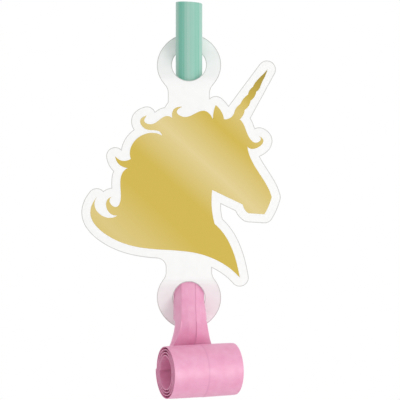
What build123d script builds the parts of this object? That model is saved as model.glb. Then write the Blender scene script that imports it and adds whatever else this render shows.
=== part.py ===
"""Party blower: a plastic mouthpiece with a reed, a coiled paper tube, and a card medallion.

The mouthpiece stands along Z with its mouth end at the origin and its coil hanging below.
The front of the medallion faces -Y. All sizes are millimetres.
"""

import os
from math import atan2, cos, degrees, dist, radians, sin, tan

from build123d import *

# Mouthpiece: one moulded tube, with a wider chamber at its lower end for the reed
tube_diameter = 7.7
tube_wall = 0.6
tube_length = 91.9
lip_round = 0.25
chamber_length = 22.0
chamber_wall = 0.35

# Reed: a trough and a tongue, both held by a collar pressed into the chamber
collar_length = 6.0
collar_recess = 0.5
press_clearance = 0.02
trough_radius = 2.3
trough_channel_radius = 1.5
trough_length = 18.0
trough_tip_wall = 1.0
tongue_width = 3.6
tongue_thickness = 0.1
tongue_length = 17.4
tongue_rock = 2.0
tongue_slot_clearance = 0.03

# Paper tube: pressed flat, coiled at the front, and glued round the mouthpiece at its upper end
paper_ply = 0.12
paper_thickness = 0.4
paper_flat_width = 21.1
sleeve_length = 16.0
sleeve_wall = 0.4
glue_gap = 0.05
neck_length = 14.1
neck_creases = 8
neck_facets = 20
neck_width_power = 1.8
neck_side = 0.2

# Coil: arcs of shrinking radius that meet at creases, where the paper bends open when it is blown
coil_outer_radius = 7.9
coil_turns = 4
coil_arcs_per_turn = 6
coil_gap = 0.42
gap_probe_angle = 5
coil_yaw = 22.0
coil_lean = 1.2
crease_gap = 0.08
end_fold = 0.3

# Recoil strip: a sprung ribbon inside the paper, which winds the coil up again
strip_width = 3.0
strip_thickness = 0.12
strip_root_length = 8.0

# Medallion: die-cut board with a foil figure, and two pierced tabs that the mouthpiece threads through
card_thickness = 0.4
card_border = 2.6
border_point_step = 1.5
card_centre_drop = 52.0
card_stand_off = 5.0
tab_spacing = 67.7
tab_radius = 9.3
hole_radius = 4.95
lower_hole_half_width = 4.6
upper_neck_width = 12.1
lower_neck_width = 13.3
tab_neck_round = 3.4
upper_foot_height = 20.6
lower_foot_height = 22.2
tab_foot_round = 2.6
tab_bend_run = 5.0
tab_bend_radius = 4.0
foil_thickness = 0.05

# Sizes that follow from those above
tube_radius = tube_diameter / 2
bore_radius = tube_radius - tube_wall
chamber_radius = tube_radius - chamber_wall
tube_end = -tube_length
sleeve_inner = tube_radius + glue_gap
sleeve_outer = sleeve_inner + sleeve_wall
coil_start = Vector(neck_side, 0, tube_end - neck_length)
coil_pitch = paper_thickness + coil_gap
coil_arc_angle = 360 / coil_arcs_per_turn
coil_arc_count = coil_turns * coil_arcs_per_turn
coil_radius = coil_outer_radius - paper_thickness / 2
card_plane = Plane(
    origin=(0, -card_stand_off, -card_centre_drop), x_dir=(1, 0, 0), z_dir=(0, -1, 0)
)

# The figure's outline about the card's centre, one smooth stroke from each sharp point to the next.
# Strokes run clockwise from the tip of the horn, as (right, up).
figure_strokes = {
    "horn_front_tip": [(22.6, 32.2), (21.7, 29.8), (20.7, 27.7), (20.2, 26.5), (19.4, 25.8)],
    "horn_front_upper": [(19.4, 25.8), (18.9, 24.4), (17.7, 23.1)],
    "horn_front_middle": [(17.7, 23.1), (17.2, 21.7), (16.0, 20.5)],
    "horn_front_lower": [(16.0, 20.5), (15.7, 19.2), (14.6, 17.8)],
    "brow": [(14.6, 17.8), (15.9, 16.0), (16.9, 13.4), (19.6, 11.1), (20.7, 12.0), (20.2, 12.9)],
    "forelock": [(20.2, 12.9), (21.4, 11.5), (20.0, 9.8), (16.8, 10.0)],
    "nose": [(16.8, 10.0), (19.0, 4.2), (22.4, -1.2), (23.8, -4.6)],
    "muzzle": [(23.8, -4.6), (23.1, -6.7), (21.7, -9.5)],
    "lip": [(21.7, -9.5), (17.1, -9.2)],
    "chin": [(17.1, -9.2), (16.1, -8.2), (15.5, -6.7)],
    "jaw": [(15.5, -6.7), (6.7, -2.5)],
    "throat": [(6.7, -2.5), (6.5, -6.3), (7.4, -12.3)],
    "chest": [(7.4, -12.3), (10.1, -15.2), (12.7, -20.2), (14.6, -27.7)],
    "hem": [
        (14.6, -27.7),
        (8.0, -22.7),
        (3.5, -21.0),
        (-11.3, -19.4),
        (-22.4, -16.2),
        (-28.1, -10.4),
        (-26.5, -4.6),
    ],
    "first_curl_inside": [(-26.5, -4.6), (-26.9, -7.8), (-23.8, -10.4), (-20.5, -9.8)],
    "second_curl_outside": [(-20.5, -9.8), (-23.2, -8.6), (-23.7, -5.9), (-22.2, -4.5)],
    "second_curl_inside": [(-22.2, -4.5), (-22.7, -6.2), (-21.2, -7.4), (-20.0, -6.6)],
    "lower_mane": [(-20.0, -6.6), (-19.7, -1.1), (-19.2, 2.2), (-17.6, 3.8)],
    "third_curl_outside": [(-17.6, 3.8), (-19.9, 4.7), (-21.2, 7.2)],
    "third_curl_inside": [(-21.2, 7.2), (-19.3, 5.9), (-16.7, 6.4)],
    "middle_mane": [(-16.7, 6.4), (-16.1, 10.9), (-12.2, 13.7), (-7.7, 13.1)],
    "fourth_curl_outside": [(-7.7, 13.1), (-8.5, 14.3), (-12.4, 15.0), (-14.0, 17.0), (-12.1, 18.9)],
    "fourth_curl_inside": [(-12.1, 18.9), (-12.6, 16.9), (-10.8, 16.4), (-7.0, 18.6), (-4.8, 18.2)],
    "fifth_curl_outside": [(-4.8, 18.2), (-4.2, 20.8), (-2.0, 21.4)],
    "upper_mane": [(-2.0, 21.4), (-3.4, 19.6), (-1.6, 18.5), (3.2, 20.1), (6.9, 17.8)],
    "ear_back": [(6.9, 17.8), (7.1, 19.9), (7.7, 21.9)],
    "ear_front": [(7.7, 21.9), (9.3, 20.1), (10.1, 17.8)],
    "poll": [(10.1, 17.8), (11.5, 18.0), (13.0, 19.5)],
    "horn_back_lower": [(13.0, 19.5), (13.5, 20.9), (14.8, 22.2)],
    "horn_back_middle": [(14.8, 22.2), (15.6, 23.6), (17.0, 24.9)],
    "horn_back_upper": [(17.0, 24.9), (17.5, 26.2), (18.4, 27.1)],
    "horn_back_tip": [(18.4, 27.1), (19.2, 28.5), (21.0, 30.4), (22.6, 32.2)],
}

# The white border runs straight beside the horn instead of following its ridges
plain_horn_strokes = [
    [(22.4, 32.1), (14.6, 17.8)],
    [(13.0, 19.5), (22.4, 32.1)],
]


def mouthpiece_tube():
    """The tube, with its outer lip eased and its reed chamber stepped wider than the bore."""
    body = Pos(0, 0, tube_end / 2) * Cylinder(tube_radius, tube_length)
    lip = body.edges().sort_by(Axis.Z)[-1]
    body = fillet(lip, lip_round)
    body -= Pos(0, 0, tube_end / 2) * Cylinder(bore_radius, tube_length)
    chamber_middle = tube_end + chamber_length / 2
    return body - Pos(0, 0, chamber_middle) * Cylinder(chamber_radius, chamber_length)


# The collar's lower face sits just inside the tube's end, and the reed stands up from it
collar_bottom = tube_end + collar_recess
collar_top = collar_bottom + collar_length


def reed_trough():
    """A half-round trough with a closed tip. Its flat slopes back above the collar to let the tongue beat."""
    half = Cylinder(trough_radius, trough_length, align=(Align.CENTER, Align.CENTER, Align.MIN))
    keep = Box(
        2 * trough_radius,
        trough_radius,
        trough_length,
        align=(Align.CENTER, Align.MIN, Align.MIN),
    )
    trough = half & keep
    channel_length = trough_length - trough_tip_wall
    trough -= Cylinder(
        trough_channel_radius, channel_length, align=(Align.CENTER, Align.CENTER, Align.MIN)
    )
    facing = Pos(0, 0, collar_length) * Rot(X=-tongue_rock) * Box(
        2 * tube_radius,
        tube_radius,
        2 * trough_length,
        align=(Align.CENTER, Align.MAX, Align.MIN),
    )
    return Pos(0, 0, collar_bottom) * (trough - facing)


def reed_tongue():
    """The thin tongue, flat against the trough inside the collar and free above it."""
    tongue = Box(
        tongue_width,
        tongue_thickness,
        tongue_length,
        align=(Align.CENTER, Align.MAX, Align.MIN),
    )
    return Pos(0, -press_clearance, collar_bottom) * tongue


def reed_collar():
    """The plug that grips the trough, with a slot beside it where the tongue's tail can rock."""
    plug = Cylinder(
        chamber_radius - press_clearance,
        collar_length,
        align=(Align.CENTER, Align.CENTER, Align.MIN),
    )
    seat_radius = trough_radius + press_clearance
    seat = Cylinder(seat_radius, collar_length, align=(Align.CENTER, Align.CENTER, Align.MIN))
    seat &= Box(
        2 * seat_radius,
        seat_radius,
        collar_length,
        align=(Align.CENTER, Align.MIN, Align.MIN),
    )
    rock_room = collar_length * sin(radians(tongue_rock)) + tongue_slot_clearance
    slot = Box(
        tongue_width + 2 * tongue_slot_clearance,
        press_clearance + tongue_thickness + rock_room,
        collar_length,
        align=(Align.CENTER, Align.MAX, Align.MIN),
    )
    return Pos(0, 0, collar_bottom) * (plug - seat - slot)


def ease(share):
    """Rises from 0 to 1 with level ends."""
    return share * share * (3 - 2 * share)


def mix(low, high, share):
    return low + (high - low) * share


def coil_axes(share=1.0):
    """Directions across the flat paper's width and up its length, turned part of the way to the coil's."""
    yaw = radians(coil_yaw * share)
    lean = radians(coil_lean * share)
    across = Vector(cos(yaw) * cos(lean), sin(yaw) * cos(lean), sin(lean))
    back = Vector(-sin(yaw), cos(yaw), 0)
    return across, across.cross(back)


def coil_plane():
    """X across the flat paper, Y to the back, Z up the paper, at the foot of the neck."""
    across, up = coil_axes()
    return Plane(origin=coil_start, x_dir=across, z_dir=up)


def neck_ring(share, round_radius, flat_half_width, flat_half_depth):
    """Points round one cross-section of the neck: a circle where share is 0, pressed flat where it is 1."""
    half_width = mix(round_radius, flat_half_width, share**neck_width_power)
    half_depth = mix(round_radius, flat_half_depth, ease(share))
    across, up = coil_axes(1 - (1 - share) ** 2)
    origin = Vector(0, 0, tube_end) + (coil_start - Vector(0, 0, tube_end)) * share
    plane = Plane(origin=origin, x_dir=across, z_dir=up)
    turns = [radians(360 * i / neck_facets) for i in range(neck_facets)]
    return [plane.from_local_coords(Vector(half_width * cos(t), half_depth * sin(t))) for t in turns]


def creased_facet(*corners):
    """A flat facet of creased paper."""
    return Face(Wire.make_polygon(corners))


def neck_body(round_radius, flat_half_width, flat_half_depth):
    """A solid from round to flat, from the tube's end to the coil, creased into flat facets."""
    shares = [i / neck_creases for i in range(neck_creases + 1)]
    rings = [neck_ring(s, round_radius, flat_half_width, flat_half_depth) for s in shares]
    facets = [creased_facet(*rings[0]), creased_facet(*rings[-1])]
    for above, below in zip(rings, rings[1:]):
        for here in range(neck_facets):
            following = (here + 1) % neck_facets
            facets.append(creased_facet(above[here], above[following], below[here]))
            facets.append(creased_facet(above[following], below[following], below[here]))
    return Solid(Shell(facets))


def paper_neck():
    """The glued sleeve round the mouthpiece, and the hollow neck that flattens below it."""
    half_width = paper_flat_width / 2
    half_depth = paper_thickness / 2
    outside = neck_body(sleeve_outer, half_width, half_depth)
    inside = neck_body(sleeve_inner, half_width - paper_ply, half_depth - paper_ply)
    sleeve_middle = tube_end + sleeve_length / 2
    sleeve = Cylinder(sleeve_outer, sleeve_length) - Cylinder(sleeve_inner, sleeve_length)
    return outside - inside + Pos(0, 0, sleeve_middle) * sleeve


def coil_arcs():
    """Each arc of the coil as (start angle, radius, centre), in the plane across the coil.

    Angles grow from the back of the coil, down and round to the front. Points are (back, up).
    """
    arcs = []
    centre = Vector(-coil_radius, 0)
    radius = coil_radius
    for index in range(coil_arc_count):
        angle = index * coil_arc_angle
        arcs.append((angle, radius, centre))
        step = coil_pitch / coil_arcs_per_turn
        end = radians(angle + coil_arc_angle)
        centre = centre + Vector(cos(end), -sin(end)) * step
        radius -= step
    return arcs


def coil_creases():
    """The middle of each crease in the row's frame, on the outside of the paper, where the bend opens."""
    plane = coil_plane()
    points = []
    for angle, radius, centre in coil_arcs():
        turn = radians(angle)
        reach = radius + paper_thickness / 2
        point = centre + Vector(cos(turn), -sin(turn)) * reach
        points.append(plane.from_local_coords(Vector(0, point.X, point.Y)))
    return points


def least_coil_gap():
    """The least space between the coil's turns, measured on points along the middle of the paper."""
    points = []
    for angle, radius, centre in coil_arcs():
        for step in range(round(coil_arc_angle / gap_probe_angle)):
            turn = radians(angle + step * gap_probe_angle)
            points.append((centre.X + radius * cos(turn), centre.Y - radius * sin(turn)))
    half_turn = round(180 / gap_probe_angle)
    spaces = [dist(a, b) for i, a in enumerate(points) for b in points[i + half_turn :]]
    return min(spaces) - paper_thickness


def bent_piece(profile, arc, start_trim, end_trim):
    """Bends a profile round one arc of the coil, trimmed in millimetres at each end."""
    angle, radius, centre = arc
    start = degrees(start_trim / radius)
    sweep = coil_arc_angle - start - degrees(end_trim / radius)
    bent = revolve(Pos(0, radius) * profile, Axis((0, 0, 0), (-1, 0, 0)), sweep)
    return coil_plane() * Pos(0, centre.X, centre.Y) * Rot(X=-(angle + start)) * bent


def coil_paper(arc, last):
    """One stretch of the flattened tube between two creases. The last has its end folded shut."""
    outside = Rectangle(paper_flat_width, paper_thickness)
    inside = Rectangle(paper_flat_width - 2 * paper_ply, paper_thickness - 2 * paper_ply)
    trim = crease_gap / 2
    piece = bent_piece(outside - inside, arc, trim, trim)
    if last:
        arc_length = radians(coil_arc_angle) * arc[1]
        piece += bent_piece(outside, arc, arc_length - trim - end_fold, trim)
    return piece


def coil_strip(arc, last):
    """The stretch of recoil strip inside one stretch of paper."""
    trim = crease_gap / 2
    end_trim = trim + end_fold + crease_gap if last else trim
    return bent_piece(Rectangle(strip_width, strip_thickness), arc, trim, end_trim)


def strip_root():
    """The recoil strip's upper end, inside the neck."""
    root = Box(
        strip_width,
        strip_thickness,
        strip_root_length,
        align=(Align.CENTER, Align.CENTER, Align.MIN),
    )
    return coil_plane() * root


def drawn_face(strokes):
    """A face bounded by strokes drawn flat about the card's centre."""
    edges = [Line(*points) if len(points) == 2 else Spline(*points) for points in strokes]
    return make_face(edges)


def border_outline():
    """The panel's outline: the figure grown by its white border, redrawn with plain arcs and splines."""
    strokes = [points for name, points in figure_strokes.items() if not name.startswith("horn")]
    plain_figure = drawn_face(strokes + plain_horn_strokes)
    edges = []
    for edge in offset(plain_figure, amount=card_border, kind=Kind.ARC).edges():
        if edge.geom_type == GeomType.OFFSET:
            spans = max(2, round(edge.length / border_point_step))
            points = [edge.position_at(i / spans) for i in range(spans + 1)]
            edge = Spline(*points, tangents=[edge.tangent_at(0), edge.tangent_at(1)])
        edges.append(edge)
    return make_face(edges)


def tab_bend():
    """The tab's slope where it passes the mouthpiece, and how far inside the hole its bend starts."""
    slope = atan2(card_stand_off, tab_bend_run)
    return slope, tab_bend_run + tab_bend_radius * tan(slope / 2)


def tab_outline(foot_height, neck_width):
    """A tab drawn flat, pointing up: a disc on a neck, eased at the disc and where it meets the panel."""
    height = tab_spacing / 2
    half_neck = neck_width / 2
    tab = Pos(0, height) * Circle(tab_radius)
    tab += Pos(0, height / 2) * Rectangle(neck_width, height)
    corners = tab.vertices().group_by(Axis.Y)[1]
    tab = fillet(corners, tab_neck_round)
    foot_top = foot_height + tab_foot_round
    foot = Pos(0, foot_top / 2) * Rectangle(neck_width + 2 * tab_foot_round, foot_top)
    for side in (1, -1):
        foot -= Pos(side * (half_neck + tab_foot_round), foot_top) * Circle(tab_foot_round)
    return tab + foot


def tab_sheet():
    """The bent sheet that the upper tab is cut from, drawn in side view and pulled across the tab."""
    height = tab_spacing / 2
    runs = [
        (0, 0),
        (0, height - tab_bend_run),
        (-2 * card_stand_off, height + tab_bend_run),
        (-2 * card_stand_off, height + 2 * tab_radius),
    ]
    middle = FilletPolyline(*runs, radius=tab_bend_radius)
    side_view = Plane(origin=(0, 0, 0), x_dir=(0, 0, 1), z_dir=(-1, 0, 0))
    profile = side_view * trace(middle, card_thickness)
    return extrude(profile, tab_radius, both=True)


def bent_tab(outline, hole):
    """A tab's bent part, cut from the bent sheet, with the hole that the mouthpiece threads through."""
    pierced = outline - Pos(0, tab_spacing / 2) * hole
    return extrude(pierced, 2 * (card_stand_off + card_thickness), both=True) & tab_sheet()


def medallion_card():
    """The board: a flat panel before the mouthpiece, and two tabs that bend back to pass behind it."""
    upper = tab_outline(upper_foot_height, upper_neck_width)
    lower = tab_outline(lower_foot_height, lower_neck_width)
    bend_height = tab_spacing / 2 - tab_bend()[1]
    bend_zone = Pos(0, bend_height + tab_radius) * Rectangle(2 * tab_radius, 2 * tab_radius)
    panel = border_outline()
    panel += upper - bend_zone
    panel += Rot(Z=180) * (lower - bend_zone)
    card = extrude(panel, card_thickness / 2, both=True)
    card += bent_tab(upper & bend_zone, Circle(hole_radius))
    lower_tab = bent_tab(lower & bend_zone, Ellipse(lower_hole_half_width, hole_radius))
    card += mirror(lower_tab, about=Plane.XZ)
    return card_plane * card


def gold_foil():
    """The stamped foil on the front of the panel."""
    front = card_plane.offset(card_thickness / 2)
    figure = drawn_face(figure_strokes.values())
    return extrude(front * figure, foil_thickness)


def main():
    nodes = {
        "mouthpiece_tube": mouthpiece_tube(),
        "reed_collar": reed_collar(),
        "reed_trough": reed_trough(),
        "reed_tongue": reed_tongue(),
        "paper_neck": paper_neck(),
        "recoil_strip_root": strip_root(),
        "medallion_card": medallion_card(),
        "gold_foil": gold_foil(),
    }
    for index, arc in enumerate(coil_arcs(), 1):
        last = index == coil_arc_count
        nodes[f"coil_paper_{index:02d}"] = coil_paper(arc, last)
        nodes[f"recoil_strip_{index:02d}"] = coil_strip(arc, last)
    os.makedirs("parts", exist_ok=True)
    for name, solid in nodes.items():
        export_step(solid, f"parts/{name}.step")
    print(f"least gap between the coil's turns: {least_coil_gap():.2f} mm")
    return nodes


if __name__ == "__main__":
    main()
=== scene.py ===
"""A party blower: mint mouthpiece, pink coiled paper, and a white card with a gold foil figure.

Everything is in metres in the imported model's frame: the mouth end is at the origin, +Z runs out of
the mouth, and the front of the card faces -Y.
"""

from math import cos, pi, radians, sin, sqrt, tan, tau

import bmesh
import bpy
from mathutils import Matrix, Vector


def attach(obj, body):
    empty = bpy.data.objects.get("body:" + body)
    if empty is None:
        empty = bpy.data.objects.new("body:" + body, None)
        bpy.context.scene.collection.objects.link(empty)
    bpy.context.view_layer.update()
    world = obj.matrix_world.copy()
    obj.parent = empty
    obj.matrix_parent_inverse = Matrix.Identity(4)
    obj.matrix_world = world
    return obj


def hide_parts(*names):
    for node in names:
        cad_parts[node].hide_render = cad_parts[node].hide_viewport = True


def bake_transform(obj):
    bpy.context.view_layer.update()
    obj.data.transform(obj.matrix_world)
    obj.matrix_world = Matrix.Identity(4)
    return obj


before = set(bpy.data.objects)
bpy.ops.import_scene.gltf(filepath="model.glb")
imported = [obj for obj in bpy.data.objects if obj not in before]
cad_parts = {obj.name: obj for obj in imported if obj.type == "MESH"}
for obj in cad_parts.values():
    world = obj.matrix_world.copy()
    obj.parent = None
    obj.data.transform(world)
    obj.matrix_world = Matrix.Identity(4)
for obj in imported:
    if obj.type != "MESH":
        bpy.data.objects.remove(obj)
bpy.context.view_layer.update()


# Mouthpiece tube. A straight tube of mint polypropylene, extruded and cut a little aslant at the mouth,
# where its lip is eased. Extrusion leaves lines along it. Its lower end is bored wider for the reed.

MM = 0.001
TUBE_RADIUS = 3.85 * MM
TUBE_BORE = 3.25 * MM
TUBE_LENGTH = 91.9 * MM
CHAMBER_RADIUS = 3.5 * MM
CHAMBER_LENGTH = 22.0 * MM
LIP_ROUND = 0.25 * MM
CUT_ROUND = 0.08 * MM
CUT_SLANT = 0.055
SLANT_DEPTH = 2.0 * MM
TUBE_SIDES = 96


def linear(hex_colour):
    """An sRGB hex colour as a linear RGBA value."""
    channels = [int(hex_colour[i : i + 2], 16) / 255 for i in (1, 3, 5)]
    return [c / 12.92 if c <= 0.04045 else ((c + 0.055) / 1.055) ** 2.4 for c in channels] + [1.0]


def add_node(tree, kind, values=None, links=None, **settings):
    """Adds a node, sets its properties and socket values, and links its inputs."""
    node = tree.nodes.new(kind)
    for name, value in settings.items():
        setattr(node, name, value)
    for socket, value in (values or {}).items():
        node.inputs[socket].default_value = value
    for socket, source in (links or {}).items():
        tree.links.new(source, node.inputs[socket])
    return node


def new_material(name):
    """An empty node material, and its tree with the output node alone."""
    material = bpy.data.materials.new(name)
    material.use_nodes = True
    material.node_tree.nodes.clear()
    output = material.node_tree.nodes.new("ShaderNodeOutputMaterial")
    return material, material.node_tree, output


def mesh_piece(name, points, faces, sharp_angle=40):
    """A smooth-shaded mesh object whose edges past an angle stay sharp."""
    mesh = bpy.data.meshes.new(name)
    mesh.from_pydata(points, [], faces)
    mesh.validate()
    mesh.shade_smooth()
    mesh.set_sharp_from_angle(angle=radians(sharp_angle))
    piece = bpy.data.objects.new(name, mesh)
    bpy.context.scene.collection.objects.link(piece)
    return piece


def turned_piece(name, profile, sides):
    """Turns a closed profile of (radius, height) points round the Z axis."""
    points = []
    for radius, height in profile:
        for side in range(sides):
            angle = tau * side / sides
            points.append((radius * cos(angle), radius * sin(angle), height))
    faces = []
    for ring in range(len(profile)):
        here = ring * sides
        following = (ring + 1) % len(profile) * sides
        for side in range(sides):
            after = (side + 1) % sides
            faces.append((here + side, here + after, following + after, following + side))
    return mesh_piece(name, points, faces)


def rounded_corner(radius, height, size, start_degrees, steps=4):
    """Points of a quarter turn about a corner's centre, from a start angle."""
    angles = [radians(start_degrees + 90 * i / steps) for i in range(steps + 1)]
    return [(radius + size * cos(a), height + size * sin(a)) for a in angles]


tube_profile = rounded_corner(TUBE_RADIUS - CUT_ROUND, -TUBE_LENGTH + CUT_ROUND, CUT_ROUND, -90)
tube_profile += rounded_corner(TUBE_RADIUS - LIP_ROUND, -LIP_ROUND, LIP_ROUND, 0)
tube_profile += rounded_corner(TUBE_BORE + CUT_ROUND, -CUT_ROUND, CUT_ROUND, 90)
tube_profile += [
    (TUBE_BORE, -TUBE_LENGTH + CHAMBER_LENGTH),
    (CHAMBER_RADIUS, -TUBE_LENGTH + CHAMBER_LENGTH),
    (CHAMBER_RADIUS, -TUBE_LENGTH),
]
tube = turned_piece("mouthpiece_tube_dressed", tube_profile, TUBE_SIDES)
for vertex in tube.data.vertices:
    if vertex.co.z > -SLANT_DEPTH:
        vertex.co.z -= CUT_SLANT * (vertex.co.x + TUBE_RADIUS)

# Mint polypropylene, extruded: a soft gloss, a little light passing through its wall, broad bands of deeper
# and paler mint that are painted shade and painted highlight, and fine die lines along the tube. The lines
# are drawn about 0.6 mm apart and the bands about 3 mm, so that they show. Both are drawn out along the
# tube.
DIE_LINE_SPACING = 0.6 * MM
PAINTED_BAND_SPACING = 3.2 * MM
PAINTED_BAND_SHIFT = (4.9, 9.5, 0.0)
DRAWN_OUT = 0.004
mint, tree, output = new_material("mint_polypropylene_extruded")
place = add_node(tree, "ShaderNodeTexCoord")
stretch = add_node(
    tree,
    "ShaderNodeMapping",
    {"Scale": (1 / DIE_LINE_SPACING, 1 / DIE_LINE_SPACING, DRAWN_OUT / DIE_LINE_SPACING)},
    {"Vector": place.outputs["Object"]},
)
lines = add_node(
    tree,
    "ShaderNodeTexNoise",
    {"Scale": 1.0, "Detail": 3.0, "Roughness": 0.6},
    {"Vector": stretch.outputs["Vector"]},
)
# The broad bands are shifted so that, in the front view, deep mint lies where the tube is shaded and pale
# mint where it reflects the lamp: painted shade and painted highlight.
painted_band_place = add_node(
    tree,
    "ShaderNodeMapping",
    {
        "Location": PAINTED_BAND_SHIFT,
        "Scale": (1 / PAINTED_BAND_SPACING, 1 / PAINTED_BAND_SPACING, DRAWN_OUT / PAINTED_BAND_SPACING),
    },
    {"Vector": place.outputs["Object"]},
)
painted_bands = add_node(
    tree,
    "ShaderNodeTexNoise",
    {"Scale": 1.0, "Detail": 1.0},
    {"Vector": painted_band_place.outputs["Vector"]},
)
lines_and_painted_bands = add_node(
    tree,
    "ShaderNodeMix",
    {"Factor": 0.3},
    {"A": painted_bands.outputs["Fac"], "B": lines.outputs["Fac"]},
)
tint = add_node(tree, "ShaderNodeValToRGB", links={"Fac": lines_and_painted_bands.outputs["Result"]})
tint.color_ramp.elements[0].position = 0.38
tint.color_ramp.elements[0].color = linear("#78BDA8")
tint.color_ramp.elements[1].position = 0.52
tint.color_ramp.elements[1].color = linear("#A1C9BB")
ridges = add_node(
    tree,
    "ShaderNodeBump",
    {"Strength": 0.25, "Distance": 0.02 * MM},
    {"Height": lines.outputs["Fac"]},
)
plastic = add_node(
    tree,
    "ShaderNodeBsdfPrincipled",
    {
        "Roughness": 0.34,
        "IOR": 1.49,
        "Specular IOR Level": 0.35,
        "Subsurface Weight": 0.12,
        "Subsurface Radius": (1.0, 1.0, 1.0),
        "Subsurface Scale": 0.8 * MM,
    },
    {"Base Color": tint.outputs["Color"], "Normal": ridges.outputs["Normal"]},
)
tree.links.new(plastic.outputs["BSDF"], output.inputs["Surface"])
tube.data.materials.append(mint)
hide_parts("mouthpiece_tube")
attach(tube, "mouthpiece")


# Reed. A collar pressed into the tube's lower end holds a half-round trough and a thin tongue beside it.
# All three are hidden in the tube and keep their own shapes.

# Polystyrene, moulded or rolled to film: off-white with a faint grain, which is finer on the film. The film
# is also glossier.
for node, hex_colour, roughness, grain in (
    ("reed_collar", "#E9E7DF", 0.5, 0.3),
    ("reed_trough", "#E4E2DA", 0.5, 0.3),
    ("reed_tongue", "#D9DEE2", 0.25, 0.15),
):
    moulding, tree, output = new_material(f"{node}_polystyrene")
    place = add_node(tree, "ShaderNodeTexCoord")
    speckle = add_node(
        tree,
        "ShaderNodeTexNoise",
        {"Scale": 1 / (grain * MM), "Detail": 2.0},
        {"Vector": place.outputs["Object"]},
    )
    texture = add_node(
        tree,
        "ShaderNodeBump",
        {"Strength": 0.15, "Distance": 0.01 * MM},
        {"Height": speckle.outputs["Fac"]},
    )
    body = add_node(
        tree,
        "ShaderNodeBsdfPrincipled",
        {"Base Color": linear(hex_colour), "Roughness": roughness, "IOR": 1.55},
        {"Normal": texture.outputs["Normal"]},
    )
    tree.links.new(body.outputs["BSDF"], output.inputs["Surface"])
    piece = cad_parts[node]
    piece.data.materials.clear()
    piece.data.materials.append(moulding)


# Paper tube. Two plies of coated pink paper, glued into a flat tube with a lap seam along its outer
# face. Its upper end is bunched and glued round the mouthpiece, and the rest is wound into a coil by
# the sprung strip inside it. The coil is made of arcs of shrinking radius that meet at its creases.

PAPER_WIDTH = 21.1 * MM
PAPER_THICKNESS = 0.4 * MM
PAPER_PLY = 0.12 * MM
PAPER_SIDES = 128
EDGE_SQUARENESS = 0.3
COIL_START = Vector((0.2, 0, -106.0)) * MM
COIL_OUTER_RADIUS = 7.9 * MM
COIL_GAP = 0.42 * MM
COIL_TURNS = 4
ARCS_PER_TURN = 6
ARC_ANGLE = 360 / ARCS_PER_TURN
COIL_YAW = radians(22)
COIL_LEAN = radians(1.2)
SEAM_PLACE = 0.0 * MM
SEAM_LIFT = 0.07 * MM
SEAM_FADE = 4.0 * MM

coil_arcs = []
arc_radius = COIL_OUTER_RADIUS - PAPER_THICKNESS / 2
arc_centre = Vector((-arc_radius, 0))
for index in range(COIL_TURNS * ARCS_PER_TURN):
    coil_arcs.append((arc_centre.copy(), arc_radius))
    arc_end = radians((index + 1) * ARC_ANGLE)
    shrink = (PAPER_THICKNESS + COIL_GAP) / ARCS_PER_TURN
    arc_centre = arc_centre + Vector((cos(arc_end), -sin(arc_end))) * shrink
    arc_radius -= shrink


def coil_axes(share):
    """Directions across the flat paper, to its back and up it, turned part of the way to the coil's."""
    yaw = COIL_YAW * share
    lean = COIL_LEAN * share
    across = Vector((cos(yaw) * cos(lean), sin(yaw) * cos(lean), sin(lean)))
    back = Vector((-sin(yaw), cos(yaw), 0))
    return across, back, across.cross(back)


coil_across, coil_back, coil_up = coil_axes(1)
coil_frame = Matrix((coil_back, coil_up, coil_across)).transposed().to_4x4()
coil_frame.translation = COIL_START


def coil_place(angle, from_inside=False):
    """A point (back, up) of the paper's middle at an angle along the coil, and its arc's radius."""
    index = int(angle // ARC_ANGLE)
    if from_inside and angle % ARC_ANGLE == 0:
        index -= 1
    centre, radius = coil_arcs[max(0, min(index, len(coil_arcs) - 1))]
    turn = radians(angle)
    return centre + Vector((cos(turn), -sin(turn))) * radius, radius


def coil_path(name, start, end, step=15.0):
    """A curve along the paper's middle between two angles of the coil, flat in its own XY plane."""
    count = round((end - start) / step)
    curve = bpy.data.curves.new(name, "CURVE")
    curve.dimensions = "3D"
    spline = curve.splines.new("BEZIER")
    spline.bezier_points.add(count)
    spline.resolution_u = 6
    for i, point in enumerate(spline.bezier_points):
        angle = start + i * step
        place, radius_after = coil_place(angle)
        radius_before = coil_place(angle, from_inside=True)[1]
        turn = radians(angle)
        heading = Vector((-sin(turn), -cos(turn)))
        reach = 4 / 3 * sin(radians(step) / 4) / cos(radians(step) / 4)
        point.handle_left_type = "FREE"
        point.handle_right_type = "FREE"
        point.co = place.to_3d()
        point.handle_left = (place - heading * reach * radius_before).to_3d()
        point.handle_right = (place + heading * reach * radius_after).to_3d()
    path = bpy.data.objects.new(name, curve)
    bpy.context.scene.collection.objects.link(path)
    return path


# The nodes bend a flattened tube along a path. The tube's section is a circle pressed to the paper's
# width and thickness, with the lap seam standing a little proud on its outer face.
paper_tree = bpy.data.node_groups.new("flattened_paper_tube", "GeometryNodeTree")
paper_tree.interface.new_socket("Paper", in_out="OUTPUT", socket_type="NodeSocketGeometry")
for socket_name, socket_type in (
    ("Path", "NodeSocketObject"),
    ("Paper material", "NodeSocketMaterial"),
    ("Start length", "NodeSocketFloat"),
    ("Width", "NodeSocketFloat"),
    ("Thickness", "NodeSocketFloat"),
    ("Sides", "NodeSocketInt"),
    ("Edge squareness", "NodeSocketFloat"),
    ("Seam place", "NodeSocketFloat"),
    ("Seam lift", "NodeSocketFloat"),
    ("Seam fade", "NodeSocketFloat"),
):
    paper_tree.interface.new_socket(socket_name, in_out="INPUT", socket_type=socket_type)
sizes = add_node(paper_tree, "NodeGroupInput").outputs
result = add_node(paper_tree, "NodeGroupOutput")
path_info = add_node(paper_tree, "GeometryNodeObjectInfo", links={"Object": sizes["Path"]})
travel = add_node(paper_tree, "GeometryNodeSplineParameter")
along = add_node(
    paper_tree,
    "ShaderNodeMath",
    links={0: travel.outputs["Length"], 1: sizes["Start length"]},
    operation="ADD",
)
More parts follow.
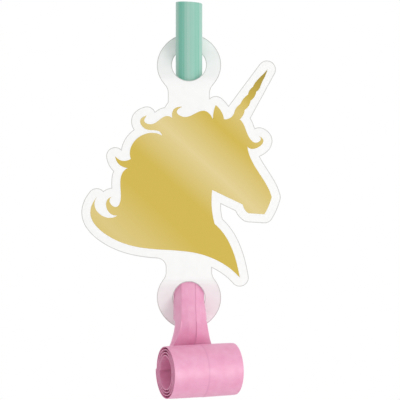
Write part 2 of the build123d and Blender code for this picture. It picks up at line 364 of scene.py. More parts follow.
marked_path = add_node(
    paper_tree,
    "GeometryNodeStoreNamedAttribute",
    {"Name": "along"},
    {"Geometry": path_info.outputs["Geometry"], "Value": along.outputs[0]},
    data_type="FLOAT",
    domain="POINT",
)
circle = add_node(
    paper_tree,
    "GeometryNodeCurvePrimitiveCircle",
    {"Radius": 1.0},
    {"Resolution": sizes["Sides"]},
)
ring_place = add_node(paper_tree, "GeometryNodeInputPosition")
parts = add_node(paper_tree, "ShaderNodeSeparateXYZ", links={"Vector": ring_place.outputs["Position"]})
half_width = add_node(
    paper_tree, "ShaderNodeMath", {1: 0.5}, {0: sizes["Width"]}, operation="MULTIPLY"
)
half_depth = add_node(
    paper_tree, "ShaderNodeMath", {1: 0.5}, {0: sizes["Thickness"]}, operation="MULTIPLY"
)
across = add_node(
    paper_tree,
    "ShaderNodeMath",
    links={0: parts.outputs["X"], 1: half_width.outputs[0]},
    operation="MULTIPLY",
)
bulge = add_node(
    paper_tree, "ShaderNodeMath", links={0: parts.outputs["Y"]}, operation="ABSOLUTE"
)
squared = add_node(
    paper_tree,
    "ShaderNodeMath",
    links={0: bulge.outputs[0], 1: sizes["Edge squareness"]},
    operation="POWER",
)
facing = add_node(paper_tree, "ShaderNodeMath", links={0: parts.outputs["Y"]}, operation="SIGN")
signed = add_node(
    paper_tree,
    "ShaderNodeMath",
    links={0: squared.outputs[0], 1: facing.outputs[0]},
    operation="MULTIPLY",
)
depth = add_node(
    paper_tree,
    "ShaderNodeMath",
    links={0: signed.outputs[0], 1: half_depth.outputs[0]},
    operation="MULTIPLY",
)
seam_end = add_node(
    paper_tree,
    "ShaderNodeMath",
    links={0: sizes["Seam place"], 1: sizes["Seam fade"]},
    operation="ADD",
)
lift = add_node(
    paper_tree,
    "ShaderNodeMapRange",
    {"To Max": 0.0},
    {
        "Value": across.outputs[0],
        "From Min": sizes["Seam place"],
        "From Max": seam_end.outputs[0],
        "To Min": sizes["Seam lift"],
    },
)
past_seam = add_node(
    paper_tree,
    "ShaderNodeMath",
    links={0: across.outputs[0], 1: sizes["Seam place"]},
    operation="GREATER_THAN",
)
outside = add_node(
    paper_tree, "ShaderNodeMath", {1: 0.0}, {0: parts.outputs["Y"]}, operation="GREATER_THAN"
)
seam_on = add_node(
    paper_tree,
    "ShaderNodeMath",
    links={0: past_seam.outputs[0], 1: outside.outputs[0]},
    operation="MULTIPLY",
)
seam_height = add_node(
    paper_tree,
    "ShaderNodeMath",
    links={0: lift.outputs["Result"], 1: seam_on.outputs[0]},
    operation="MULTIPLY",
)
raised = add_node(
    paper_tree,
    "ShaderNodeMath",
    links={0: depth.outputs[0], 1: seam_height.outputs[0]},
    operation="ADD",
)
outward = add_node(
    paper_tree, "ShaderNodeMath", {1: -1.0}, {0: raised.outputs[0]}, operation="MULTIPLY"
)
sideways = add_node(
    paper_tree, "ShaderNodeMath", {1: -1.0}, {0: across.outputs[0]}, operation="MULTIPLY"
)
pressed_place = add_node(
    paper_tree,
    "ShaderNodeCombineXYZ",
    links={"X": outward.outputs[0], "Y": sideways.outputs[0]},
)
marked_across = add_node(
    paper_tree,
    "GeometryNodeStoreNamedAttribute",
    {"Name": "across"},
    {"Geometry": circle.outputs["Curve"], "Value": across.outputs[0]},
    data_type="FLOAT",
    domain="POINT",
)
marked_side = add_node(
    paper_tree,
    "GeometryNodeStoreNamedAttribute",
    {"Name": "outside"},
    {"Geometry": marked_across.outputs["Geometry"], "Value": outside.outputs[0]},
    data_type="FLOAT",
    domain="POINT",
)
pressed = add_node(
    paper_tree,
    "GeometryNodeSetPosition",
    links={"Geometry": marked_side.outputs["Geometry"], "Position": pressed_place.outputs[0]},
)
swept = add_node(
    paper_tree,
    "GeometryNodeCurveToMesh",
    {"Fill Caps": True},
    {"Curve": marked_path.outputs["Geometry"], "Profile Curve": pressed.outputs["Geometry"]},
)
realized = add_node(
    paper_tree, "GeometryNodeRealizeInstances", links={"Geometry": swept.outputs["Mesh"]}
)
finished = add_node(
    paper_tree,
    "GeometryNodeSetMaterial",
    links={"Geometry": realized.outputs["Geometry"], "Material": sizes["Paper material"]},
)
paper_tree.links.new(finished.outputs["Geometry"], result.inputs["Paper"])
socket_ids = {item.name: item.identifier for item in paper_tree.interface.items_tree}

# Pink coated paper, calendered: a satin face with a soft mottle, short fibres along its length, a darker
# line along the seam on the tube's outer face, and painted shade down the crease of the neck's lap fold.
# Fibres are drawn 0.4 mm wide and the mottle 2.6 mm so that they show.
# The side shifts give the two sides of the flat tube different patterns.
FIBRE_WIDTH = 0.4 * MM
FIBRE_LENGTH = 1.4 * MM
PAPER_MOTTLE = 2.6 * MM
FIBRE_SIDE_SHIFT = 7.0
MOTTLE_SIDE_SHIFT = 5.0
SEAM_LINE_WIDTH = 0.4 * MM
SEAM_DARKNESS = 0.35
LAP_PAINTED_SHADE = 0.4
pink, tree, output = new_material("pink_coated_paper_calendered")
across_mark = add_node(tree, "ShaderNodeAttribute", attribute_name="across")
along_mark = add_node(tree, "ShaderNodeAttribute", attribute_name="along")
outside_mark = add_node(tree, "ShaderNodeAttribute", attribute_name="outside")
fold_mark = add_node(tree, "ShaderNodeAttribute", attribute_name="fold")
sheet_place = add_node(
    tree,
    "ShaderNodeCombineXYZ",
    links={
        "X": across_mark.outputs["Fac"],
        "Y": along_mark.outputs["Fac"],
        "Z": outside_mark.outputs["Fac"],
    },
)
fibre_place = add_node(
    tree,
    "ShaderNodeMapping",
    {"Scale": (1 / FIBRE_WIDTH, 1 / FIBRE_LENGTH, FIBRE_SIDE_SHIFT)},
    {"Vector": sheet_place.outputs["Vector"]},
)
fibres = add_node(
    tree,
    "ShaderNodeTexNoise",
    {"Scale": 1.0, "Detail": 3.0, "Roughness": 0.6},
    {"Vector": fibre_place.outputs["Vector"]},
)
mottle_place = add_node(
    tree,
    "ShaderNodeMapping",
    {"Scale": (1 / PAPER_MOTTLE, 1 / PAPER_MOTTLE, MOTTLE_SIDE_SHIFT)},
    {"Vector": sheet_place.outputs["Vector"]},
)
clouds = add_node(
    tree,
    "ShaderNodeTexNoise",
    {"Scale": 1.0, "Detail": 2.0},
    {"Vector": mottle_place.outputs["Vector"]},
)
pink_tint = add_node(tree, "ShaderNodeValToRGB", links={"Fac": clouds.outputs["Fac"]})
pink_tint.color_ramp.elements[0].position = 0.3
pink_tint.color_ramp.elements[0].color = linear("#E390B6")
pink_tint.color_ramp.elements[1].position = 0.7
pink_tint.color_ramp.elements[1].color = linear("#E89FC1")
from_seam = add_node(
    tree, "ShaderNodeMath", {1: SEAM_PLACE}, {0: across_mark.outputs["Fac"]}, operation="SUBTRACT"
)
seam_distance = add_node(tree, "ShaderNodeMath", links={0: from_seam.outputs[0]}, operation="ABSOLUTE")
seam_line = add_node(
    tree,
    "ShaderNodeMapRange",
    {"From Min": 0.0, "From Max": SEAM_LINE_WIDTH, "To Min": SEAM_DARKNESS, "To Max": 0.0},
    {"Value": seam_distance.outputs[0]},
)
seam_shown = add_node(
    tree,
    "ShaderNodeMath",
    links={0: seam_line.outputs["Result"], 1: outside_mark.outputs["Fac"]},
    operation="MULTIPLY",
)
# The lap fold on the neck is darkened as painted shade in its crease; the seam line is a darker line along
# the seam.
seam_line_and_lap_shade = add_node(
    tree,
    "ShaderNodeMath",
    {1: LAP_PAINTED_SHADE},
    {0: fold_mark.outputs["Fac"], 2: seam_shown.outputs[0]},
    operation="MULTIPLY_ADD",
)
pink_colour = add_node(
    tree,
    "ShaderNodeMix",
    {"B": linear("#C96E9D")},
    {"Factor": seam_line_and_lap_shade.outputs[0], "A": pink_tint.outputs["Color"]},
    data_type="RGBA",
)
cloud_relief = add_node(
    tree,
    "ShaderNodeBump",
    {"Strength": 0.5, "Distance": 0.16 * MM},
    {"Height": clouds.outputs["Fac"]},
)
fibre_relief = add_node(
    tree,
    "ShaderNodeBump",
    {"Strength": 0.15, "Distance": 0.015 * MM},
    {"Height": fibres.outputs["Fac"], "Normal": cloud_relief.outputs["Normal"]},
)
satin = add_node(
    tree,
    "ShaderNodeMapRange",
    {"To Min": 0.4, "To Max": 0.5},
    {"Value": fibres.outputs["Fac"]},
)
paper_face = add_node(
    tree,
    "ShaderNodeBsdfPrincipled",
    {
        "Specular IOR Level": 1.0,
        "IOR": 1.6,
        "Subsurface Weight": 0.08,
        "Subsurface Radius": (1.0, 0.6, 0.7),
        "Subsurface Scale": 0.4 * MM,
    },
    {
        "Base Color": pink_colour.outputs["Result"],
        "Roughness": satin.outputs["Result"],
        "Normal": fibre_relief.outputs["Normal"],
    },
)
tree.links.new(paper_face.outputs["BSDF"], output.inputs["Surface"])


def coil_piece(name, start, end):
    """A stretch of the coil between two angles, as a plain mesh in its place."""
    path = coil_path(f"{name}_path", start, end)
    carrier = bpy.data.objects.new(f"{name}_carrier", bpy.data.meshes.new(f"{name}_carrier"))
    bpy.context.scene.collection.objects.link(carrier)
    winding = carrier.modifiers.new("flattened_paper_tube", "NODES")
    winding.node_group = paper_tree
    mean_radius = (coil_place(0)[1] + coil_place(start)[1]) / 2
    for socket_name, value in (
        ("Path", path),
        ("Paper material", pink),
        ("Start length", radians(start) * mean_radius),
        ("Width", PAPER_WIDTH),
        ("Thickness", PAPER_THICKNESS),
        ("Sides", PAPER_SIDES),
        ("Edge squareness", EDGE_SQUARENESS),
        ("Seam place", SEAM_PLACE),
        ("Seam lift", SEAM_LIFT),
        ("Seam fade", SEAM_FADE),
    ):
        winding[socket_ids[socket_name]] = value
    bpy.context.view_layer.update()
    evaluated = carrier.evaluated_get(bpy.context.evaluated_depsgraph_get())
    mesh = bpy.data.meshes.new_from_object(evaluated)
    mesh.name = name
    mesh.transform(coil_frame)
    # The sweep leaves the faces pointing inwards.
    mesh.flip_normals()
    mesh.shade_smooth()
    mesh.set_sharp_from_angle(angle=radians(50))
    piece = bpy.data.objects.new(name, mesh)
    bpy.context.scene.collection.objects.link(piece)
    bpy.data.objects.remove(carrier)
    bpy.data.objects.remove(path)
    return piece


def coil_spot(angle):
    """A point of the paper's middle, at an angle along the coil, in the object's frame."""
    return coil_frame @ coil_place(angle)[0].to_3d()


# Each stretch is centred on a crease.
CREASE_REACH = 30
stretch_count = len(coil_arcs)
half_arc = ARC_ANGLE / 2
for index in range(1, stretch_count + 1):
    crease = (index - 1) * ARC_ANGLE
    first = index == 1
    piece = coil_piece(
        f"paper_stretch_{index:02d}",
        crease if first else crease - half_arc,
        crease + half_arc,
    )
    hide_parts(f"coil_paper_{index:02d}")
    coil_spot(crease if first else crease - CREASE_REACH)
    coil_spot(crease + CREASE_REACH)
    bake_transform(piece)
last_crease = (stretch_count - 1) * ARC_ANGLE
tip = coil_piece("paper_tip", last_crease + half_arc, last_crease + ARC_ANGLE)
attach(tip, f"coil_{stretch_count:02d}")


# Paper neck. The upper end of the same tube of paper, gathered round the mouthpiece with a lap down its
# front and glued. Below the mouthpiece it falls in sharp folds and flattens into the coil.

SLEEVE_LENGTH = 16.0 * MM
SLEEVE_RADIUS = 4.3 * MM
SLEEVE_BORE = 3.9 * MM
SLEEVE_SPREAD = 0.2 * MM
SLEEVE_FLATNESS = 0.8
RIGHT_FLARE = 0.7 * MM
FLARE_LENGTH = 5.5 * MM
NECK_LENGTH = -TUBE_LENGTH - COIL_START.z
NECK_WIDTH_POWER = 1.8
SLEEVE_RINGS = 20
NECK_RINGS = 44
FOLD_RISE = 0.8 * MM
LONGEST_SWING = 8.0 * MM

# Shares of the way down the neck: where the glued wall has thinned to one ply, where the flare is gone,
# where the edges start to square, and where the folds start and finish fading.
WALL_THINNED = 0.5
FLARE_GONE = 0.625
SQUARING_START = 0.6
FOLDS_FADE = 0.5
FOLDS_GONE = 0.8

# Each fold is (angle at the tube's end, swing per millimetre down, lift on the sleeve, lift on the neck,
# steps to the next fold). Angle 0 is at the right and 270 at the front. The paper is flat between two
# folds. The lap's edge is a pair of folds close together.
LAP_FOLD = 10
FOLDS = (
    (10, 0.0, 0.0, -0.3 * MM, 8),
    (40, 0.0, 0.05 * MM, 0.25 * MM, 9),
    (75, 0.0, 0.0, -0.25 * MM, 8),
    (105, 0.0, 0.05 * MM, 0.25 * MM, 9),
    (140, 0.0, 0.0, -0.25 * MM, 10),
    (178, 0.0, 0.0, -0.5 * MM, 8),
    (210, -1.0, 0.0, 0.05 * MM, 8),
    (242, -3.0, 0.2 * MM, 0.3 * MM, 2),
    (245, -3.0, 0.2 * MM, 0.05 * MM, 8),
    (268, -1.5, -0.3 * MM, -0.15 * MM, 8),
    (295, -2.4, -0.1 * MM, 0.0, 1),
    (296, -2.4, 0.12 * MM, 0.3 * MM, 6),
    (314, 0.8, 0.05 * MM, -0.2 * MM, 8),
    (338, 1.0, 0.05 * MM, 0.3 * MM, 8),
)
NECK_SIDES = sum(fold[4] for fold in FOLDS)


def ease(share):
    """Rises from 0 to 1 with level ends."""
    share = max(0.0, min(1.0, share))
    return share * share * (3 - 2 * share)


def mix(low, high, share):
    """A value part of the way from one to another."""
    return low + (high - low) * share


def neck_spot(angle, half_width, half_depth, flare, squareness):
    """A point (right, back) on a smooth neck's section."""
    turn = radians(angle)
    bulge = abs(sin(turn)) ** squareness
    right = half_width * cos(turn) + flare * max(0.0, cos(turn)) ** 2
    return Vector((right, half_depth * (bulge if sin(turn) >= 0 else -bulge)))


def neck_ring(height, share, inner):
    """Points round the gathered paper at a height on the tube, or a share of the way down the neck."""
    drop = share * NECK_LENGTH - (height + TUBE_LENGTH)
    wall = mix(SLEEVE_RADIUS - SLEEVE_BORE, PAPER_PLY, ease(share / WALL_THINNED)) if inner else 0.0
    half_width = mix(SLEEVE_RADIUS + SLEEVE_SPREAD, PAPER_WIDTH / 2, share**NECK_WIDTH_POWER) - wall
    half_depth = mix(SLEEVE_RADIUS, PAPER_THICKNESS / 2, ease(share)) - wall
    flare = RIGHT_FLARE * ease(1 + drop / FLARE_LENGTH) * (1 - ease(share / FLARE_GONE))
    squareness = mix(1.0, EDGE_SQUARENESS, ease((share - SQUARING_START) / (1 - SQUARING_START)))
    below_tube = ease(drop / FOLD_RISE)
    above_coil = 1 - ease((share - FOLDS_FADE) / (FOLDS_GONE - FOLDS_FADE))
    flatness = mix(0.0 if inner else SLEEVE_FLATNESS, 1.0, below_tube) * above_coil
    angles = [angle + swing * max(0.0, min(drop, LONGEST_SWING)) / MM for angle, swing, *_ in FOLDS]
    corners = []
    for angle, fold in zip(angles, FOLDS):
        spot = neck_spot(angle, half_width, half_depth, flare, squareness)
        sleeve_lift = 0.0 if inner else fold[2]
        corners.append(spot + spot.normalized() * mix(sleeve_lift, fold[3], below_tube) * above_coil)
    across, back, _ = coil_axes(1 - (1 - share) ** 2)
    origin = Vector((0, 0, -TUBE_LENGTH)).lerp(COIL_START, share) if share else Vector((0, 0, height))
    points = []
    for index, fold in enumerate(FOLDS):
        following = (index + 1) % len(FOLDS)
        span = (angles[following] - angles[index]) % 360
        for step in range(fold[4]):
            part = step / fold[4]
            smooth = neck_spot(angles[index] + span * part, half_width, half_depth, flare, squareness)
            spot = smooth.lerp(corners[index].lerp(corners[following], part), flatness)
            points.append(origin + across * spot.x + back * spot.y)
    return points


stations = []
for ring in range(SLEEVE_RINGS):
    stations.append((-TUBE_LENGTH + SLEEVE_LENGTH * (1 - ring / SLEEVE_RINGS), 0.0))
for ring in range(NECK_RINGS + 1):
    stations.append((-TUBE_LENGTH, ring / NECK_RINGS))
neck_points = []
neck_across = []
neck_along = []
neck_fold = []
for inner in (False, True):
    for height, share in reversed(stations) if inner else stations:
        neck_points += neck_ring(height, share, inner)
        drop = share * NECK_LENGTH - (height + TUBE_LENGTH)
        for index, fold in enumerate(FOLDS):
            for step in range(fold[4]):
                neck_across.append(PAPER_WIDTH / 2 * cos(radians(fold[0] + step)))
                neck_along.append(drop - NECK_LENGTH)
                neck_fold.append(1.0 if index == LAP_FOLD else 0.0)
neck_faces = []
ring_count = 2 * len(stations)
for ring in range(ring_count):
    here = ring * NECK_SIDES
    following = (ring + 1) % ring_count * NECK_SIDES
    for side in range(NECK_SIDES):
        after = (side + 1) % NECK_SIDES
        neck_faces.append((here + side, following + side, following + after, here + after))
neck = mesh_piece("paper_neck_gathered", neck_points, neck_faces, sharp_angle=14)
for mark, values in (("across", neck_across), ("along", neck_along), ("fold", neck_fold)):
    attribute = neck.data.attributes.new(mark, "FLOAT", "POINT")
    attribute.data.foreach_set("value", values)
neck.data.materials.append(pink)
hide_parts("paper_neck")
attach(neck, "mouthpiece")


# Recoil strip. A ribbon of heat-set polyester film inside the paper, which winds the coil up again. It is
# hidden in the folded tube, and its stretches keep their own shapes.

# Polyester film, heat-set: pale grey, with a high gloss that is uneven where it was drawn.
STREAK_WIDTH = 0.2 * MM
film, tree, output = new_material("recoil_polyester_film")
place = add_node(tree, "ShaderNodeTexCoord")
film_streaks = add_node(
    tree,
    "ShaderNodeTexNoise",
    {"Scale": 1 / STREAK_WIDTH, "Detail": 2.0},
    {"Vector": place.outputs["Object"]},
)
gloss = add_node(
    tree,
    "ShaderNodeMapRange",
    {"To Min": 0.12, "To Max": 0.25},
    {"Value": film_streaks.outputs["Fac"]},
)
film_face = add_node(
    tree,
    "ShaderNodeBsdfPrincipled",
    {"Base Color": linear("#D7DADB"), "IOR": 1.64},
    {"Roughness": gloss.outputs["Result"]},
)
tree.links.new(film_face.outputs["BSDF"], output.inputs["Surface"])
for node in ["recoil_strip_root"] + [f"recoil_strip_{i + 1:02d}" for i in range(stretch_count)]:
    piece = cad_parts[node]
    piece.data.materials.clear()
    piece.data.materials.append(film)


# Medallion card. White coated board, die-cut round the figure with an even border. Its two pierced tabs
# bend back, so that the mouthpiece threads in through the upper one and out through the lower one.

PAINTED_RIM_WIDTH = 0.24 * MM
CARD_THICKNESS = 0.4 * MM
CARD_CENTRE = -52.0 * MM
TAB_SPACING = 67.7 * MM
TAB_HALF_WIDTH = 9.4 * MM
BEND_SLOPE = pi / 4
BEND_RADIUS = 4.0 * MM
BEND_REACH = 5.0 * MM + BEND_RADIUS * tan(BEND_SLOPE / 2)
BEND_STEP = 0.36 * MM
BEND_STEPS = 7
MERGE_DISTANCE = 0.002 * MM
STEEPEST_TURN = radians(45)


def coated_faces(board):
    """Faces of the board's two sides: those reached from its two largest over edges that turn little."""
    waiting = sorted(board.faces, key=lambda face: face.calc_area())[-2:]
    reached = set(waiting)
    while waiting:
        for edge in waiting.pop().edges:
            if edge.calc_face_angle(pi) < STEEPEST_TURN:
                fresh = [face for face in edge.link_faces if face not in reached]
                reached.update(fresh)
                waiting += fresh
    return reached


def board_normal(spot, front):
    """The direction that the board's front or back faces at a spot of its panel or its bent tabs."""
    beyond_hole = abs(spot.z - CARD_CENTRE) - TAB_SPACING / 2
    half = CARD_THICKNESS / 2 if front else -CARD_THICKNESS / 2
    first_bend = (beyond_hole + BEND_REACH) / (BEND_RADIUS + half)
    second_bend = (BEND_REACH - beyond_hole) / (BEND_RADIUS - half)
    lean = max(0.0, min(first_bend, second_bend, sin(BEND_SLOPE)))
    if abs(spot.x) > TAB_HALF_WIDTH:
        lean = 0.0
    normal = Vector((0, -sqrt(1 - lean * lean), lean if spot.z > CARD_CENTRE else -lean))
    return normal if front else -normal


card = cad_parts["medallion_card"].copy()
card.data = card.data.copy()
card.name = "medallion_card_die_cut"
card.parent = None
card.matrix_world = Matrix.Identity(4)
bpy.context.scene.collection.objects.link(card)
board = bmesh.new()
board.from_mesh(card.data)
bmesh.ops.remove_doubles(board, verts=board.verts, dist=MERGE_DISTANCE)
bmesh.ops.dissolve_limit(
    board, angle_limit=radians(0.5), verts=board.verts, edges=board.edges, delimit={"NORMAL"}
)

# The tabs' bends are cut into level strips, and the slanted edges between the strips are taken out.
for tab in (-1, 1):
    for bend in (-1, 1):
        for step in range(BEND_STEPS + 1):
            beyond_hole = bend * (BEND_REACH - step * BEND_STEP)
            strip_height = CARD_CENTRE + tab * (TAB_SPACING / 2 + beyond_hole)
            bmesh.ops.bisect_plane(
                board,
                geom=board.verts[:] + board.edges[:] + board.faces[:],
                dist=MERGE_DISTANCE,
                plane_co=(0, 0, strip_height),
                plane_no=(0, 0, 1),
            )
coated = coated_faces(board)
slanted = []
for edge in board.edges:
    low, high = sorted(vertex.co.z for vertex in edge.verts)
    beyond_hole = abs((low + high) / 2 - CARD_CENTRE) - TAB_SPACING / 2
    on_tab = abs(beyond_hole) < BEND_REACH and abs(edge.verts[0].co.x) < TAB_HALF_WIDTH
    if on_tab and high - low > MERGE_DISTANCE and coated.issuperset(edge.link_faces):
        slanted.append(edge)
bmesh.ops.dissolve_edges(board, edges=slanted, use_verts=False)

# A thin rim round both sides is coloured like the cut edge, as painted shade that draws a grey line round
# the card, and the sides get the normals of a smooth bend.
edge_and_rim_mark = board.faces.layers.float.new("cut_edge_and_painted_rim")
coated = coated_faces(board)
for face in board.faces:
    face[edge_and_rim_mark] = 0.0 if face in coated else 1.0
painted_rim_faces = bmesh.ops.inset_region(
    board, faces=list(coated), thickness=PAINTED_RIM_WIDTH, use_boundary=True, use_even_offset=True
)["faces"]
for face in painted_rim_faces:
    face[edge_and_rim_mark] = 1.0
board.to_mesh(card.data)
board.free()
card.data.shade_smooth()
card.data.set_sharp_from_angle(angle=radians(35))
corner_normals = [corner.vector.copy() for corner in card.data.corner_normals]
edge_and_rim_values = card.data.attributes["cut_edge_and_painted_rim"].data
for polygon in card.data.polygons:
    if edge_and_rim_values[polygon.index].value == 0:
        for corner in polygon.loop_indices:
            corner_place = card.data.vertices[card.data.loops[corner].vertex_index].co
            corner_normals[corner] = board_normal(corner_place, polygon.normal.y < 0)
card.data.normals_split_custom_set(corner_normals)

# White coated board, die-cut: a matt clay coat with a faint mottle, and a raw grey edge where the knife
# went through, carried on as a thin grey rim round both faces that is painted shade of the edge. The mottle
# is drawn 2.5 mm across and the tooth of the coat 0.3 mm.
MOTTLE = 2.5 * MM
COAT_TOOTH = 0.3 * MM
white_board, tree, output = new_material("white_coated_board_die_cut")
place = add_node(tree, "ShaderNodeTexCoord")
mottle = add_node(
    tree,
    "ShaderNodeTexNoise",
    {"Scale": 1 / MOTTLE, "Detail": 3.0},
    {"Vector": place.outputs["Object"]},
)
board_tint = add_node(tree, "ShaderNodeValToRGB", links={"Fac": mottle.outputs["Fac"]})
board_tint.color_ramp.elements[0].position = 0.3
board_tint.color_ramp.elements[0].color = linear("#F6F6F5")
board_tint.color_ramp.elements[1].position = 0.7
board_tint.color_ramp.elements[1].color = linear("#F9F9F8")
edge_and_rim = add_node(tree, "ShaderNodeAttribute", attribute_name="cut_edge_and_painted_rim")
# The grey on the rim of both faces is painted shade; on the cut walls it is the board's raw edge.
board_colour = add_node(
    tree,
    "ShaderNodeMix",
    {"B": linear("#D0D0CD")},
    {"Factor": edge_and_rim.outputs["Fac"], "A": board_tint.outputs["Color"]},
    data_type="RGBA",
)
tooth = add_node(
    tree,
    "ShaderNodeTexNoise",
    {"Scale": 1 / COAT_TOOTH, "Detail": 2.0},
    {"Vector": place.outputs["Object"]},
)
coat_relief = add_node(
    tree,
    "ShaderNodeBump",
    {"Strength": 0.15, "Distance": 0.01 * MM},
    {"Height": tooth.outputs["Fac"]},
)
board_face = add_node(
    tree,
    "ShaderNodeBsdfPrincipled",
    {
        "Roughness": 0.6,
        "IOR": 1.48,
        "Subsurface Weight": 0.1,
        "Subsurface Radius": (1.0, 1.0, 1.0),
        "Subsurface Scale": 0.5 * MM,
    },
    {"Base Color": board_colour.outputs["Result"], "Normal": coat_relief.outputs["Normal"]},
)
tree.links.new(board_face.outputs["BSDF"], output.inputs["Surface"])
card.data.materials.clear()
card.data.materials.append(white_board)
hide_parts("medallion_card")
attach(card, "medallion")


# Foil figure. Gold aluminium foil, hot-stamped on the card in one piece. It keeps its own outline. Broad
# pale bands that run down to the right are painted reflections in its colour, and it is darker at the
# horn's tip.

BAND_ACROSS = (0.686, 0.0, 0.728)
MAIN_BAND = -31.0 * MM
BAND_SWAY = 1.5 * MM
SWAY_LENGTH = 25.0 * MM
HORN_TIP_START = 20.2 * MM
HORN_TIP_END = 33.2 * MM
FOIL_GRAIN = 0.5 * MM

# Each painted reflection band is (place beyond the main band, reach to either side, strength). They lie on
# the face, the mane and the horn.
FOIL_PAINTED_REFLECTIONS = ((0.0, 10.5 * MM, 1.0), (-32.0 * MM, 12.9 * MM, 0.66), (17.0 * MM, 6.0 * MM, 0.5))
gold, tree, output = new_material("gold_foil_hot_stamped")
place = add_node(tree, "ShaderNodeTexCoord")
sway = add_node(
    tree,
    "ShaderNodeTexNoise",
    {"Scale": 1 / SWAY_LENGTH, "Detail": 1.0},
    {"Vector": place.outputs["Object"]},
)
reach = add_node(
    tree,
    "ShaderNodeVectorMath",
    {1: BAND_ACROSS},
    {0: place.outputs["Object"]},
    operation="DOT_PRODUCT",
)
swayed = add_node(
    tree,
    "ShaderNodeMath",
    {1: BAND_SWAY},
    {0: sway.outputs["Fac"], 2: reach.outputs["Value"]},
    operation="MULTIPLY_ADD",
)
from_main_band = add_node(
    tree,
    "ShaderNodeMath",
    {1: MAIN_BAND + BAND_SWAY / 2},
    {0: swayed.outputs[0]},
    operation="SUBTRACT",
)
painted_reflection_shares = []
for band_place, band_reach, band_strength in FOIL_PAINTED_REFLECTIONS:
    from_middle = add_node(
        tree, "ShaderNodeMath", {1: band_place}, {0: from_main_band.outputs[0]}, operation="SUBTRACT"
    )
    distance = add_node(tree, "ShaderNodeMath", links={0: from_middle.outputs[0]}, operation="ABSOLUTE")
    share = add_node(
        tree,
        "ShaderNodeMapRange",
        {"From Min": 0.0, "From Max": band_reach, "To Min": band_strength, "To Max": 0.0},
        {"Value": distance.outputs[0]},
    )
    painted_reflection_shares.append(share.outputs["Result"])
face_and_mane = add_node(
    tree, "ShaderNodeMath", links={0: painted_reflection_shares[0], 1: painted_reflection_shares[1]}, operation="MAXIMUM"
)
painted_reflection_share = add_node(
    tree, "ShaderNodeMath", links={0: face_and_mane.outputs[0], 1: painted_reflection_shares[2]}, operation="MAXIMUM"
)
# The pale gold mixed in here is painted reflection.
painted_reflection_colour = add_node(
    tree,
    "ShaderNodeMix",
    {"A": linear("#D3B958"), "B": linear("#E3D196")},
    {"Factor": painted_reflection_share.outputs[0]},
    data_type="RGBA",
)
tip_shade = add_node(
    tree,
    "ShaderNodeMapRange",
    {"From Min": HORN_TIP_START, "From Max": HORN_TIP_END},
    {"Value": from_main_band.outputs[0]},
)
foil_colour = add_node(
    tree,
    "ShaderNodeMix",
    {"B": linear("#A08C40")},
    {"Factor": tip_shade.outputs["Result"], "A": painted_reflection_colour.outputs["Result"]},
    data_type="RGBA",
)
grain = add_node(
    tree,
    "ShaderNodeTexNoise",
    {"Scale": 1 / FOIL_GRAIN, "Detail": 2.0},
    {"Vector": place.outputs["Object"]},
)
stamped = add_node(
    tree,
    "ShaderNodeBump",
    {"Strength": 0.12, "Distance": 0.01 * MM},
    {"Height": grain.outputs["Fac"]},
)
foil_gloss = add_node(
    tree,
    "ShaderNodeMapRange",
    {"To Min": 0.2, "To Max": 0.26},
    {"Value": grain.outputs["Fac"]},
)
foil_face = add_node(
    tree,
    "ShaderNodeBsdfPrincipled",
    {"Metallic": 1.0},
    {
        "Base Color": foil_colour.outputs["Result"],
        "Roughness": foil_gloss.outputs["Result"],
        "Normal": stamped.outputs["Normal"],
    },
)
tree.links.new(foil_face.outputs["BSDF"], output.inputs["Surface"])
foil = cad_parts["gold_foil"]
foil.data.materials.clear()
foil.data.materials.append(gold)


# Studio. A pale round floor of matt paper well below the hanging part, a white surround whose light is
# weaker from the lower left, a large soft lamp at the front right, and a camera level with the middle of
# the part, as in the photograph.

FLOOR_DROP = 300 * MM
FLOOR_RADIUS = 400 * MM
FLOOR_SIDES = 96
FLOOR_CLOUD = 30 * MM
CAMERA_DISTANCE = 600 * MM
VIEW_WIDTH = 116 * MM
VIEW_CENTRE = Vector((3.19, 0, -57.4)) * MM
SURROUND_LIGHT = 0.92
DARK_SIDE = (-0.8, -0.2, -0.55)
DARK_SIDE_START = -0.3
DARK_SIDE_FULL = 0.9
DARK_SIDE_LIGHT = 0.64
LAMP_PLACE = Vector((430, -575, -120)) * MM
LAMP_WIDTH = 240 * MM
LAMP_HEIGHT = 460 * MM
LAMP_LEVEL = 2.4
floor_angles = [tau * i / FLOOR_SIDES for i in range(FLOOR_SIDES)]
floor_points = [(FLOOR_RADIUS * cos(a), FLOOR_RADIUS * sin(a), -FLOOR_DROP) for a in floor_angles]
floor = mesh_piece("studio_floor", floor_points, [tuple(range(FLOOR_SIDES))])
pale, tree, output = new_material("pale_floor_paper")
place = add_node(tree, "ShaderNodeTexCoord")
cloud = add_node(
    tree, "ShaderNodeTexNoise", {"Scale": 1 / FLOOR_CLOUD}, {"Vector": place.outputs["Object"]}
)
floor_tint = add_node(tree, "ShaderNodeValToRGB", links={"Fac": cloud.outputs["Fac"]})
floor_tint.color_ramp.elements[0].color = linear("#F2F2F1")
floor_tint.color_ramp.elements[1].color = linear("#F6F6F5")
floor_face = add_node(
    tree, "ShaderNodeBsdfPrincipled", {"Roughness": 0.9}, {"Base Color": floor_tint.outputs["Color"]}
)
tree.links.new(floor_face.outputs["BSDF"], output.inputs["Surface"])
floor.data.materials.append(pale)

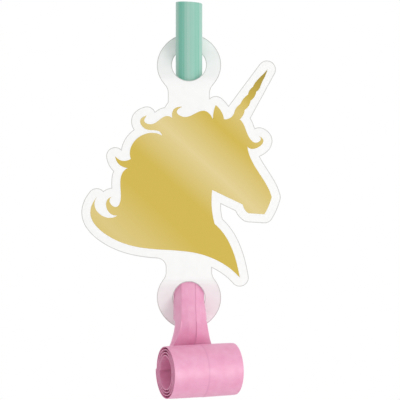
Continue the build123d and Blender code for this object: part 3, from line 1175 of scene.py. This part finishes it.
world = bpy.data.worlds.new("white_studio")
bpy.context.scene.world = world
world.use_nodes = True
tree = world.node_tree
tree.nodes.clear()
output = add_node(tree, "ShaderNodeOutputWorld")
ray = add_node(tree, "ShaderNodeLightPath")
seen = add_node(
    tree,
    "ShaderNodeMath",
    links={0: ray.outputs["Is Camera Ray"], 1: ray.outputs["Is Glossy Ray"]},
    operation="MAXIMUM",
)
seen_or_through = add_node(
    tree,
    "ShaderNodeMath",
    links={0: seen.outputs[0], 1: ray.outputs["Is Transmission Ray"]},
    operation="MAXIMUM",
)
way = add_node(tree, "ShaderNodeTexCoord")
to_dark_side = add_node(
    tree,
    "ShaderNodeVectorMath",
    {1: DARK_SIDE},
    {0: way.outputs["Generated"]},
    operation="DOT_PRODUCT",
)
soft_light = add_node(
    tree,
    "ShaderNodeMapRange",
    {
        "From Min": DARK_SIDE_START,
        "From Max": DARK_SIDE_FULL,
        "To Min": SURROUND_LIGHT,
        "To Max": DARK_SIDE_LIGHT,
    },
    {"Value": to_dark_side.outputs["Value"]},
)
strength = add_node(
    tree,
    "ShaderNodeMapRange",
    {"To Max": 1.0},
    {"Value": seen_or_through.outputs[0], "To Min": soft_light.outputs["Result"]},
)
surround = add_node(
    tree,
    "ShaderNodeBackground",
    {"Color": (1.0, 1.0, 1.0, 1.0)},
    {"Strength": strength.outputs["Result"]},
)
tree.links.new(surround.outputs["Background"], output.inputs["Surface"])

light = bpy.data.lights.new("key_softbox", "AREA")
light.shape = "RECTANGLE"
light.size = LAMP_WIDTH
light.size_y = LAMP_HEIGHT
to_part = VIEW_CENTRE - LAMP_PLACE
light.energy = LAMP_LEVEL * to_part.length_squared
lamp = bpy.data.objects.new("key_softbox", light)
lamp.location = LAMP_PLACE
lamp.rotation_euler = to_part.to_track_quat("-Z", "Y").to_euler()
bpy.context.scene.collection.objects.link(lamp)

lens = bpy.data.cameras.new("photograph_view")
lens.sensor_width = 36
lens.lens = lens.sensor_width * CAMERA_DISTANCE / VIEW_WIDTH
camera = bpy.data.objects.new("photograph_view", lens)
camera.location = VIEW_CENTRE + Vector((0, -CAMERA_DISTANCE, 0))
camera.rotation_euler = (pi / 2, 0, 0)
bpy.context.scene.collection.objects.link(camera)
bpy.context.scene.camera = camera
bpy.context.scene.view_settings.view_transform = "Standard"
